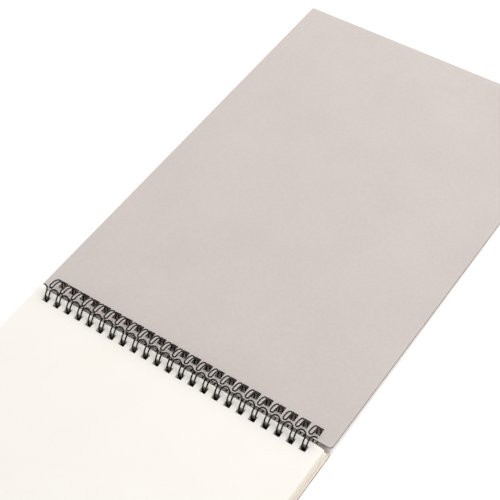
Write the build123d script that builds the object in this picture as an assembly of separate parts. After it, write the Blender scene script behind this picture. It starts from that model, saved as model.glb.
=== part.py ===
from build123d import *
import math
import os

# A wire-bound sketchbook lying open on a table, in millimetres.
# X runs along the binding, +Y towards the open front cover, -Y towards the
# pad of drawing sheets, and +Z up. The origin is on the table, below the
# middle of the binding.

# Covers
board_width = 210.0
board_length = 297.0
board_thickness = 0.9
board_corner_radius = 2.0
board_hole_to_edge = 3.1
board_hole_depth = 5.0

# Drawing sheets
sheet_count = 39
sheet_width = 207.0
sheet_length = 293.0
sheet_thickness = 0.195
sheet_pitch = 0.2
sheet_corner_radius = 1.0
sheet_hole_to_edge = 3.2
sheet_hole_depth = 4.0

# Punched holes, three to the inch
hole_count = 23
hole_pitch = 25.4 / 3
hole_width = 4.2

# Twin-loop wire
wire_diameter = 0.9
ring_radius = 7.5
pair_spacing = 2.5
tip_angle = 103.0
arch_angle = 102.0
wire_twist = 8.0
end_arch_sweep = 110.0

# How the opened book rests
front_cover_edge = 1.5
front_cover_height = 6.34
back_cover_height = 1.25
sheet_slack = 0.4
table_clearance = 0.02

ring_height = ring_radius + wire_diameter / 2
wire_radius = wire_diameter / 2


def hole_positions():
    first = -hole_pitch * (hole_count - 1) / 2
    return [first + hole_pitch * index for index in range(hole_count)]


def leaf(width, length, thickness, hole_to_edge, hole_depth, corner_radius):
    """A punched leaf: hole row on Y = 0, spine edge on +Y, underside on Z = 0."""
    spine_edge = hole_to_edge + hole_depth / 2
    outline = Pos(0, spine_edge - length / 2) * Rectangle(width, length)
    spine_corners = outline.vertices().sort_by(Axis.Y)[-2:]
    outline = fillet(spine_corners, corner_radius)
    holes = [Pos(x, 0) * Rectangle(hole_width, hole_depth) for x in hole_positions()]
    return extrude(outline - holes, thickness)


def ring_offset(height):
    """How far the ring stands out from its centre at this height."""
    return math.sqrt(ring_radius**2 - (height - ring_height) ** 2)


def pad_leaf(shape, bottom_height, thickness, slack):
    """Lay a leaf in the pad so that its holes follow the curve of the rings."""
    hole_y = -ring_offset(bottom_height + thickness / 2) - slack
    tilt = math.degrees(math.asin((back_cover_height - table_clearance) / board_length))
    return Pos(0, hole_y, bottom_height) * Rot(tilt, 0, 0) * shape


def front_cover():
    """The opened cover: its spine edge hangs on the rings, its far edge lies on the table."""
    shape = leaf(
        board_width,
        board_length,
        board_thickness,
        board_hole_to_edge,
        board_hole_depth,
        board_corner_radius,
    )
    hole_centre = board_hole_to_edge + board_hole_depth / 2
    drop = front_cover_height - board_thickness - table_clearance
    tilt = math.degrees(math.asin(drop / board_length))
    turned = Pos(0, hole_centre, -board_thickness) * Rot(0, 0, 180) * shape
    return Pos(0, front_cover_edge, front_cover_height) * Rot(-tilt, 0, 0) * turned


def ring_point(x, angle):
    radians = math.radians(angle)
    return Vector(x, ring_radius * math.cos(radians), ring_height + ring_radius * math.sin(radians))


def ring_tangent(angle):
    radians = math.radians(angle)
    return Vector(0, -math.sin(radians), math.cos(radians))


def bend(centre, radius, side, forward, sweep):
    """An arc that starts beside its centre, on -side, and turns towards forward."""

    def at(turn):
        radians = math.radians(turn)
        return centre - side * (radius * math.cos(radians)) + forward * (radius * math.sin(radians))

    return ThreePointArc(at(0), at(sweep / 2), at(sweep))


def twisted(angle, x):
    """The wire is slightly twisted, so its angles drop evenly from the first hole to the last."""
    return angle - wire_twist * x / (hole_pitch * (hole_count - 1))


def binding_wire():
    """One continuous wire: a closed finger through each hole, arches between neighbours."""
    half_pair = pair_spacing / 2
    half_pitch = hole_pitch / 2
    arch_radius = half_pitch - half_pair
    along = Vector(1, 0, 0)

    def leg_start(x):
        return twisted(arch_angle, x) + math.degrees(arch_radius / ring_radius)

    def tip_start(x):
        return 360 + twisted(tip_angle, x) - math.degrees(half_pair / ring_radius)

    def rise(x, first, last):
        middle = (first + last) / 2
        return ThreePointArc(ring_point(x, first), ring_point(x, middle), ring_point(x, last))

    def finger(x):
        tip = tip_start(x)
        return [
            rise(x - half_pair, leg_start(x - half_pitch), tip),
            bend(ring_point(x, tip), half_pair, along, ring_tangent(tip), 180),
            rise(x + half_pair, tip, leg_start(x + half_pitch)),
        ]

    def arch(x, side, sweep):
        start = leg_start(x)
        return bend(ring_point(x, start), arch_radius, side, -ring_tangent(start), sweep)

    holes = hole_positions()
    edges = [arch(holes[0] - half_pitch, -along, end_arch_sweep)]
    for x in holes:
        edges += finger(x)
        edges.append(arch(x + half_pitch, along, end_arch_sweep if x == holes[-1] else 180))
    path = Wire(edges)
    section = Plane(origin=path @ 0, z_dir=path % 0) * Circle(wire_radius)
    return sweep(section, path)


os.makedirs("parts", exist_ok=True)

back = leaf(
    board_width,
    board_length,
    board_thickness,
    board_hole_to_edge,
    board_hole_depth,
    board_corner_radius,
)
export_step(pad_leaf(back, back_cover_height, board_thickness, 0), "parts/back_cover.step")

sheet = leaf(
    sheet_width,
    sheet_length,
    sheet_thickness,
    sheet_hole_to_edge,
    sheet_hole_depth,
    sheet_corner_radius,
)
first_sheet_height = back_cover_height + board_thickness
for number in range(sheet_count):
    height = first_sheet_height + sheet_pitch * number
    placed = pad_leaf(sheet, height, sheet_thickness, sheet_slack)
    export_step(placed, f"parts/sheet_{number + 1:02d}.step")

export_step(front_cover(), "parts/front_cover.step")
export_step(binding_wire(), "parts/binding_wire.step")
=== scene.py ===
import math
import random

import bpy
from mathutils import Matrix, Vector


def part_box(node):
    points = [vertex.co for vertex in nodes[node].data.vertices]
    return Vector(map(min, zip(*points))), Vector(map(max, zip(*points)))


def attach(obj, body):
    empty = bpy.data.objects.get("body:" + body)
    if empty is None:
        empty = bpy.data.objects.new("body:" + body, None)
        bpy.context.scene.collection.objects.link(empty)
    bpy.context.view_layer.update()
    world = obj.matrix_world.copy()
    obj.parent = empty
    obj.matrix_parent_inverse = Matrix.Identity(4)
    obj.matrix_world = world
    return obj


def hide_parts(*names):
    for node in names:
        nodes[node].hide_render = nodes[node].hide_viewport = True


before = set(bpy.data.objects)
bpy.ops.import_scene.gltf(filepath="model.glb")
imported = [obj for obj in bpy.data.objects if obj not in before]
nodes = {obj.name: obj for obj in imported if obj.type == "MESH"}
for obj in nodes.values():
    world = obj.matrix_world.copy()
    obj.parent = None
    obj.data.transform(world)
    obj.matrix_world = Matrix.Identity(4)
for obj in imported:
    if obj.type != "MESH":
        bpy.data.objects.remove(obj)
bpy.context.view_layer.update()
rng = random.Random(7)

MM = 0.001

# Wire, in metres and degrees; the rings' radius is to the wire's centre line
WIRE_RADIUS = 0.45 * MM
RING_RADIUS = 7.5 * MM
RING_HEIGHT = RING_RADIUS + WIRE_RADIUS
HOLE_COUNT = 23
HOLE_PITCH = 25.4 / 3 * MM
LEG_SPACING = 2.62 * MM
FINGER_SPACING = 2.34 * MM
TIP_ANGLE = 103.0
ARCH_ANGLE = 102.0
WIRE_TWIST = 8.0
END_ARCH_SWEEP = 110
MAX_LEAN = 0.14 * MM
TUBE_SIDES = 14
RING_STEP = 4.0
BEND_STEP = 15.0
END_CAP_LENGTH = 0.12
END_CAP_SIZE = 0.75

# Boards
BOARD_WIDTH = 210 * MM
BOARD_LENGTH = 297 * MM
BOARD_SOFTENING = 0.12 * MM

# Drawing sheets
SHEET_COUNT = 39
SHEET_WIDTH = 207 * MM
SHEET_LENGTH = 293 * MM
SHEET_THICKNESS = 0.195 * MM
HOLE_WIDTH = 4.2 * MM
HOLE_DEPTH = 4.0 * MM
HOLE_TO_EDGE = 3.2 * MM
CORNER_SIZE = 1.0 * MM
CORNER_CUT = 0.3 * MM
MAX_SIDE_JOG = 0.12 * MM
MAX_END_JOG = 0.1 * MM
MAX_SKEW = 0.3 * MM
STACK_WAVE = 0.1 * MM
STACK_WAVE_STEP = 0.55
GRID_STEP_X = 8 * MM
GRID_STEP_Y = 14 * MM
TINY = 1e-9

# Base colours, linear
GREY = (0.533, 0.487, 0.464)
GREY_DARK = (0.494, 0.448, 0.425)
# painted shade: the grey board's near-black cut-edge colour stands for the shade its edges lie in
GREY_EDGE_SHADE = (0.03, 0.021, 0.017)
TAN = (0.8, 0.71, 0.63)
TAN_DARK = (0.75, 0.66, 0.58)
# painted shade: the tan board's near-black cut-edge colour stands for the shade its edges lie in
TAN_EDGE_SHADE = (0.035, 0.024, 0.018)
KRAFT = (0.33, 0.215, 0.135)
PAPER = (0.835, 0.815, 0.772)
PAPER_DARK = (0.815, 0.792, 0.742)
# painted shade: these darker, tanner edge colours stand for the shade between the stacked sheets; each
# sheet takes a random mix of the two
PAPER_EDGE_SHADE = (0.77, 0.725, 0.645)
PAPER_EDGE_SHADE_DARK = (0.70, 0.655, 0.575)
WIRE_BLACK = (0.004, 0.004, 0.004)
WIRE_RUBBED = (0.01, 0.009, 0.009)
FLOOR_WHITE = (0.95, 0.95, 0.95, 1)

# Studio, with the floor's glow starting just inside the book's outline
FLOOR_HALF = 6.0
FLOOR_GLOW = 0.22
GLOW_START = -6 * MM
GLOW_FULL = -1 * MM
WORLD_STRENGTH = 0.45

# Camera
SENSOR_WIDTH = 36
LENS = 91.163
CAMERA_PLACE = (0.304426, -0.271762, 0.615870)
CAMERA_TURN = (38.0211, 4.5467, 35.4209)


def hole_positions():
    first = -HOLE_PITCH * (HOLE_COUNT - 1) / 2
    return [first + HOLE_PITCH * i for i in range(HOLE_COUNT)]


# ---------------------------------------------------------------- materials


class Shader:
    """A few lines of sugar for building a node tree."""

    def __init__(self, name):
        self.material = bpy.data.materials.new(name)
        self.material.use_nodes = True
        self.tree = self.material.node_tree
        self.bsdf = self.tree.nodes["Principled BSDF"]
        self.coords = self.tree.nodes.new("ShaderNodeTexCoord")
        self.place = self.coords.outputs["Object"]

    def node(self, kind, inputs=None, **settings):
        made = self.tree.nodes.new("ShaderNode" + kind)
        for key, value in settings.items():
            setattr(made, key, value)
        for key, value in (inputs or {}).items():
            self.put(made.inputs[key], value)
        return made

    def put(self, socket, value):
        if isinstance(value, bpy.types.NodeSocket):
            self.tree.links.new(value, socket)
        elif isinstance(value, tuple) and len(value) == 3 and socket.type == "RGBA":
            socket.default_value = (*value, 1.0)
        else:
            socket.default_value = value

    def noise(self, size, detail=3.0, rough=0.5, stretch=(1, 1, 1), turn=(0, 0, 0)):
        """Noise whose blotches are about size metres across, from 0 to 1."""
        place = self.node(
            "Mapping",
            {"Vector": self.place, "Scale": tuple(s / size for s in stretch), "Rotation": turn},
        )
        made = self.node(
            "TexNoise",
            {"Vector": place.outputs[0], "Scale": 1.0, "Detail": detail, "Roughness": rough},
        )
        return made.outputs["Fac"]

    def ramp(self, value, low, high, to_low=0.0, to_high=1.0):
        made = self.node(
            "MapRange",
            {"Value": value, "From Min": low, "From Max": high, "To Min": to_low, "To Max": to_high},
        )
        return made.outputs[0]

    def math(self, how, a, b=0.0):
        return self.node("Math", {0: a, 1: b}, operation=how).outputs[0]

    def mix(self, amount, a, b):
        made = self.node("Mix", {"Factor": amount}, data_type="RGBA")
        self.put(made.inputs[6], a)
        self.put(made.inputs[7], b)
        return made.outputs[2]

    def bump(self, height, depth, strength=1.0, after=None):
        made = self.node("Bump", {"Height": height, "Distance": depth, "Strength": strength})
        if after is not None:
            self.put(made.inputs["Normal"], after)
        return made.outputs[0]

    def upness(self):
        """How far the surface faces up in the piece's own frame, from -1 to 1."""
        parts = self.node("SeparateXYZ", {0: self.coords.outputs["Normal"]})
        return parts.outputs[2]


def fibres(shader, length, width, turn):
    """Short strands lying one way, from 0 to 1."""
    value = shader.noise(length, 2.0, 0.6, (1, length / width, 1), (0, 0, turn))
    return shader.ramp(value, 0.56, 0.66)


def board_material(name, face, face_dark, outer, edge):
    """Pulp board: cloudy tone, short fibres, flecks, a coloured outer face (underneath) and a near-black
    cut edge, which is painted shade with ply streaks.
    """
    s = Shader(name)
    cloud = s.noise(45 * MM, 3.0, 0.55)
    mottle = s.noise(2.2 * MM, 4.0, 0.65)
    grain = s.noise(0.35 * MM, 3.0, 0.7)
    tone = s.math("ADD", s.math("MULTIPLY", cloud, 0.45), s.math("MULTIPLY", mottle, 0.55))
    colour = s.mix(s.ramp(tone, 0.36, 0.64), face_dark, face)
    strands = None
    for turn, length in ((0.3, 3.0), (1.4, 2.4), (2.4, 3.4)):
        one = fibres(s, length * MM, 0.22 * MM, turn)
        strands = one if strands is None else s.math("MAXIMUM", strands, one)
    light = tuple(min(1.0, c * 1.09) for c in face)
    colour = s.mix(s.math("MULTIPLY", strands, 0.35), colour, light)
    flecks = s.node(
        "TexVoronoi",
        {"Vector": s.place, "Scale": 1 / (3.0 * MM), "Randomness": 1.0},
        feature="F1",
    )
    fleck = s.ramp(flecks.outputs["Distance"], 0.05, 0.09, 1.0, 0.0)
    chance = s.node("SeparateColor", {0: flecks.outputs["Color"]}).outputs[0]
    fleck = s.math("MULTIPLY", fleck, s.ramp(chance, 0.55, 0.6))
    dark = tuple(c * 0.72 for c in face_dark)
    colour = s.mix(s.math("MULTIPLY", fleck, 0.5), colour, dark)

    up = s.upness()
    is_outer = s.ramp(up, -0.6, -0.7)
    # painted shade: faces pointing sideways (the cut edges) take the near-black edge colour, streaked by
    # the plies
    edge_shade_mask = s.math("SUBTRACT", 1.0, s.ramp(s.math("ABSOLUTE", up), 0.6, 0.7))
    outer_tone = s.mix(s.ramp(mottle, 0.35, 0.65), tuple(c * 0.9 for c in outer), outer)
    outer_tone = s.mix(s.math("MULTIPLY", strands, 0.22), outer_tone, tuple(c * 1.25 for c in outer))
    colour = s.mix(is_outer, colour, outer_tone)
    plies = s.noise(1.6 * MM, 2.0, 0.6, (1, 1, 9))
    painted_edge_shade = s.mix(s.ramp(plies, 0.35, 0.65), tuple(c * 0.8 for c in edge), edge)
    colour = s.mix(edge_shade_mask, colour, painted_edge_shade)
    s.put(s.bsdf.inputs["Base Color"], colour)
    s.put(s.bsdf.inputs["Roughness"], s.ramp(grain, 0.3, 0.7, 0.82, 0.95))
    s.bsdf.inputs["Specular IOR Level"].default_value = 0.25
    s.bsdf.inputs["Sheen Weight"].default_value = 0.08
    normal = s.bump(mottle, 0.03 * MM, 0.5)
    normal = s.bump(grain, 0.012 * MM, 0.6, normal)
    normal = s.bump(strands, 0.008 * MM, 0.5, normal)
    s.put(s.bsdf.inputs["Normal"], normal)
    return s.material


def paper_material():
    """Ivory drawing paper: a fine tooth, a faint cloud, and slightly darker cut edges that are painted
    shade between the sheets, deeper or lighter at random from sheet to sheet.
    """
    s = Shader("drawing_paper")
    cloud = s.noise(30 * MM, 3.0, 0.5)
    felt = s.noise(1.1 * MM, 3.0, 0.6)
    tooth = s.noise(0.3 * MM, 3.0, 0.7)
    tone = s.math("ADD", s.math("MULTIPLY", cloud, 0.5), s.math("MULTIPLY", felt, 0.5))
    colour = s.mix(s.ramp(tone, 0.35, 0.65), PAPER_DARK, PAPER)
    # painted shade: faces pointing sideways (the cut edges) are darkened and tanned for the shade between
    # the sheets
    edge = s.math("SUBTRACT", 1.0, s.ramp(s.math("ABSOLUTE", s.upness()), 0.5, 0.8))
    which = s.node("ObjectInfo").outputs["Random"]
    painted_edge_shade = s.mix(which, PAPER_EDGE_SHADE_DARK, PAPER_EDGE_SHADE)
    colour = s.mix(edge, colour, painted_edge_shade)
    s.put(s.bsdf.inputs["Base Color"], colour)
    s.put(s.bsdf.inputs["Roughness"], s.ramp(tooth, 0.3, 0.7, 0.84, 0.96))
    s.bsdf.inputs["Specular IOR Level"].default_value = 0.22
    normal = s.bump(felt, 0.02 * MM, 0.4)
    normal = s.bump(tooth, 0.012 * MM, 0.7, normal)
    s.put(s.bsdf.inputs["Normal"], normal)
    return s.material


def wire_material():
    """Steel wire under a black coating, with a fine orange peel."""
    s = Shader("black_wire")
    peel = s.noise(0.5 * MM, 2.0, 0.5)
    rub = s.noise(6 * MM, 3.0, 0.6)
    colour = s.mix(s.ramp(rub, 0.4, 0.7), WIRE_BLACK, WIRE_RUBBED)
    s.put(s.bsdf.inputs["Base Color"], colour)
    s.put(s.bsdf.inputs["Roughness"], s.ramp(rub, 0.35, 0.7, 0.28, 0.42))
    s.bsdf.inputs["Specular IOR Level"].default_value = 0.2
    s.put(s.bsdf.inputs["Normal"], s.bump(peel, 0.01 * MM, 0.5))
    return s.material


grey_board = board_material("grey_board", GREY, GREY_DARK, KRAFT, GREY_EDGE_SHADE)
brown_board = board_material("brown_board", TAN, TAN_DARK, KRAFT, TAN_EDGE_SHADE)
paper = paper_material()
black_wire = wire_material()


def dress(obj, material):
    obj.data.materials.clear()
    obj.data.materials.append(material)


# ---------------------------------------------------------------- boards

for name, material in (("front_cover", grey_board), ("back_cover", brown_board)):
    board = nodes[name]
    for slot in board.material_slots:
        slot.link = "OBJECT"
        slot.material = material
    soften = board.modifiers.new("soft_edges", "BEVEL")
    soften.width = BOARD_SOFTENING
    soften.segments = 2
    soften.limit_method = "ANGLE"
    soften.angle_limit = math.radians(40)


# ---------------------------------------------------------------- wire


def ring_point(x, angle):
    a = math.radians(angle)
    return Vector((x, RING_RADIUS * math.cos(a), RING_HEIGHT + RING_RADIUS * math.sin(a)))


def ring_tangent(angle):
    a = math.radians(angle)
    return Vector((0, -math.sin(a), math.cos(a)))


def bend(centre, radius, side, forward, sweep):
    steps = max(3, round(sweep / BEND_STEP))
    points = []
    for i in range(steps + 1):
        a = math.radians(sweep * i / steps)
        points.append(centre - side * (radius * math.cos(a)) + forward * (radius * math.sin(a)))
    return points


def wire_path():
    """The centre line of the whole wire, loop after loop."""
    along = Vector((1, 0, 0))
    arch_radius = (HOLE_PITCH - LEG_SPACING) / 2
    holes = hole_positions()
    half_pitch = HOLE_PITCH / 2

    def twisted(angle, x):
        return angle - WIRE_TWIST * x / (HOLE_PITCH * (HOLE_COUNT - 1))

    def leg_start(x):
        return twisted(ARCH_ANGLE, x) + math.degrees(arch_radius / RING_RADIUS)

    def tip_start(x):
        return 360 + twisted(TIP_ANGLE, x) - math.degrees(FINGER_SPACING / 2 / RING_RADIUS)

    def side(x, sign, lean):
        """One wire of a pair, from the leg to the fingertip."""
        first = leg_start(x + sign * half_pitch)
        last = tip_start(x)
        steps = round((last - first) / RING_STEP)
        points = []
        for i in range(steps + 1):
            part = i / steps
            ease = part * part * (3 - 2 * part)
            half = (LEG_SPACING * (1 - ease) + FINGER_SPACING * ease) / 2
            points.append(ring_point(x + sign * half + lean * ease, first + (last - first) * part))
        return points

    def arch(x, way, sweep):
        start = leg_start(x)
        return bend(ring_point(x, start), arch_radius, way, -ring_tangent(start), sweep)

    path = arch(holes[0] - half_pitch, -along, END_ARCH_SWEEP)[::-1]
    for x in holes:
        lean = rng.uniform(-MAX_LEAN, MAX_LEAN)
        tip = tip_start(x)
        loop = bend(ring_point(x + lean, tip), FINGER_SPACING / 2, along, ring_tangent(tip), 180)
        sweep = END_ARCH_SWEEP if x == holes[-1] else 180
        path += side(x, -1, lean)[1:] + loop[1:] + side(x, 1, lean)[::-1][1:]
        path += arch(x + half_pitch, along, sweep)[1:]
    return path


def tube(name, path, radius):
    """A round tube along a path, carried without twist, with slightly rounded ends."""
    verts, faces = [], []
    tangents = []
    for i in range(len(path)):
        a = path[max(i - 1, 0)]
        b = path[min(i + 1, len(path) - 1)]
        tangents.append((b - a).normalized())
    normal = tangents[0].orthogonal().normalized()
    overhang = radius * END_CAP_LENGTH
    cap_size = radius * END_CAP_SIZE
    rings = [(path[0] - tangents[0] * overhang, tangents[0], cap_size)]
    rings += [(p, t, radius) for p, t in zip(path, tangents)]
    rings.append((path[-1] + tangents[-1] * overhang, tangents[-1], cap_size))
    before = rings[0][1]
    for centre, tangent, size in rings:
        normal = before.rotation_difference(tangent) @ normal
        normal = (normal - tangent * normal.dot(tangent)).normalized()
        across = tangent.cross(normal)
        before = tangent
        for k in range(TUBE_SIDES):
            a = 2 * math.pi * k / TUBE_SIDES
            verts.append(centre + (normal * math.cos(a) + across * math.sin(a)) * size)
    for i in range(len(rings) - 1):
        here, there = i * TUBE_SIDES, (i + 1) * TUBE_SIDES
        for k in range(TUBE_SIDES):
            n = (k + 1) % TUBE_SIDES
            faces.append((here + k, here + n, there + n, there + k))
    faces.append(tuple(range(TUBE_SIDES))[::-1])
    faces.append(tuple((len(rings) - 1) * TUBE_SIDES + k for k in range(TUBE_SIDES)))
    return mesh_piece(name, verts, faces, smooth=True)


def mesh_piece(name, verts, faces, smooth=False):
    mesh = bpy.data.meshes.new(name)
    mesh.from_pydata(verts, [], faces)
    mesh.validate()
    if smooth:
        mesh.shade_smooth()
    obj = bpy.data.objects.new(name, mesh)
    bpy.context.scene.collection.objects.link(obj)
    return obj


wire = tube("twin_loop_wire", wire_path(), WIRE_RADIUS)
dress(wire, black_wire)
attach(wire, "wire")
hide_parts("binding_wire")


# ---------------------------------------------------------------- sheets


def cuts(low, high, marks, step):
    """Grid lines from low to high through the marks, no further apart than step."""
    stops = [low, *marks, high]
    lines = []
    for a, b in zip(stops, stops[1:]):
        count = max(1, math.ceil((b - a) / step))
        lines += [a + (b - a) * i / count for i in range(count)]
    return lines + [high]


HOLES_X = [edge for x in hole_positions() for edge in (x - HOLE_WIDTH / 2, x + HOLE_WIDTH / 2)]


def in_hole(x):
    return any(abs(x - h) < HOLE_WIDTH / 2 for h in hole_positions())


def corner_inset(x, y, half_width, top, bottom):
    """Pulls a corner vertex in, so that the four corners are slightly blunted."""
    at_side = abs(abs(x) - half_width) < TINY
    if at_side and (abs(y - top) < TINY or abs(y - bottom) < TINY):
        return x - math.copysign(CORNER_CUT, x), y - CORNER_CUT if y == top else y + CORNER_CUT
    return x, y


def sheet_piece(index):
    """A punched sheet that follows its CAD node, a hair out of line with its neighbours."""
    name = f"sheet_{index + 1:02d}"
    low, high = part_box(name)
    rise = high[2] - low[2] - SHEET_THICKNESS
    tilt = math.asin(rise / SHEET_LENGTH)
    top = high[1]
    half = SHEET_WIDTH / 2
    bottom = top - SHEET_LENGTH
    near = top - HOLE_TO_EDGE
    far = near - HOLE_DEPTH
    wave = STACK_WAVE * math.sin(index * STACK_WAVE_STEP)
    jog_x = rng.uniform(-MAX_SIDE_JOG, MAX_SIDE_JOG) + wave
    jog_y = rng.uniform(-MAX_END_JOG, MAX_END_JOG)
    skew = rng.uniform(-MAX_SKEW, MAX_SKEW) / SHEET_LENGTH
    xs = cuts(-half, half, HOLES_X, GRID_STEP_X)
    ys = cuts(bottom, top, [bottom + CORNER_SIZE, far, near, top - CORNER_SIZE], GRID_STEP_Y)
    verts, faces = [], []
    nx, ny = len(xs), len(ys)
    for level in (0, 1):
        for y in ys:
            for x in xs:
                px, py = corner_inset(x, y, half, top, bottom)
                drop = (top - py) * math.sin(tilt)
                z = high[2] - SHEET_THICKNESS * (1 - level) - drop
                verts.append((px + jog_x + skew * (py - top), py + jog_y, z))
    punched = [in_hole((a + b) / 2) for a, b in zip(xs, xs[1:])]
    in_row = [far < (a + b) / 2 < near for a, b in zip(ys, ys[1:])]
    solid = [[not (row and hole) for hole in punched] for row in in_row]
    above = nx * ny
    for j in range(ny - 1):
        for i in range(nx - 1):
            if not solid[j][i]:
                continue
            a = j * nx + i
            b, c, d = a + 1, a + nx + 1, a + nx
            faces.append((above + a, above + b, above + c, above + d))
            faces.append((d, c, b, a))
            sides = (a, b, j - 1, i), (b, c, j, i + 1), (c, d, j + 1, i), (d, a, j, i - 1)
            for p, q, jj, ii in sides:
                if not (0 <= jj < ny - 1 and 0 <= ii < nx - 1) or not solid[jj][ii]:
                    faces.append((p, q, above + q, above + p))
    piece = mesh_piece("leaf_" + name[-2:], verts, faces)
    dress(piece, paper)
    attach(piece, "pad")
    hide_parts(name)


for index in range(SHEET_COUNT):
    sheet_piece(index)


# ---------------------------------------------------------------- studio


def area_light(name, place, aim, size, watts, colour=(1, 1, 1)):
    data = bpy.data.lights.new(name, "AREA")
    data.shape = "DISK"
    data.size = size
    data.energy = watts
    data.color = colour
    obj = bpy.data.objects.new(name, data)
    obj.location = place
    obj.rotation_euler = (Vector(aim) - Vector(place)).to_track_quat("-Z", "Y").to_euler()
    bpy.context.scene.collection.objects.link(obj)


def floor():
    """A pale floor that glows faintly, except under the book."""
    s = Shader("floor")
    s.bsdf.inputs["Base Color"].default_value = FLOOR_WHITE
    s.bsdf.inputs["Roughness"].default_value = 0.9
    s.bsdf.inputs["Specular IOR Level"].default_value = 0.1
    s.bsdf.inputs["Emission Color"].default_value = (1, 1, 1, 1)
    place = s.node("SeparateXYZ", {0: s.coords.outputs["Object"]}).outputs
    beside = s.math("SUBTRACT", s.math("ABSOLUTE", place[0]), BOARD_WIDTH / 2)
    beyond = s.math("SUBTRACT", s.math("ABSOLUTE", place[1]), BOARD_LENGTH)
    outside = s.math("MAXIMUM", beside, beyond)
    s.put(s.bsdf.inputs["Emission Strength"], s.ramp(outside, GLOW_START, GLOW_FULL, 0.0, FLOOR_GLOW))
    half = FLOOR_HALF
    corners = [(-half, -half, 0), (half, -half, 0), (half, half, 0), (-half, half, 0)]
    plane = mesh_piece("floor", corners, [(0, 1, 2, 3)])
    dress(plane, s.material)


floor()
area_light("back", (0.2, 1.7, 1.9), (0, 0.05, 0), 2.4, 69.5, (1.0, 0.985, 0.97))
area_light("right", (1.6, 0.1, 0.9), (0, 0, 0), 1.5, 7)

world = bpy.data.worlds.new("studio")
world.use_nodes = True
sky = world.node_tree.nodes["Background"]
sky.inputs["Color"].default_value = (1, 1, 1, 1)
sky.inputs["Strength"].default_value = WORLD_STRENGTH
scene = bpy.context.scene
scene.world = world
scene.view_settings.view_transform = "Standard"

# ---------------------------------------------------------------- camera

camera_data = bpy.data.cameras.new("camera")
camera_data.lens = LENS
camera_data.sensor_width = SENSOR_WIDTH
camera = bpy.data.objects.new("camera", camera_data)
camera.location = CAMERA_PLACE
camera.rotation_euler = tuple(math.radians(a) for a in CAMERA_TURN)
scene.collection.objects.link(camera)
scene.camera = camera
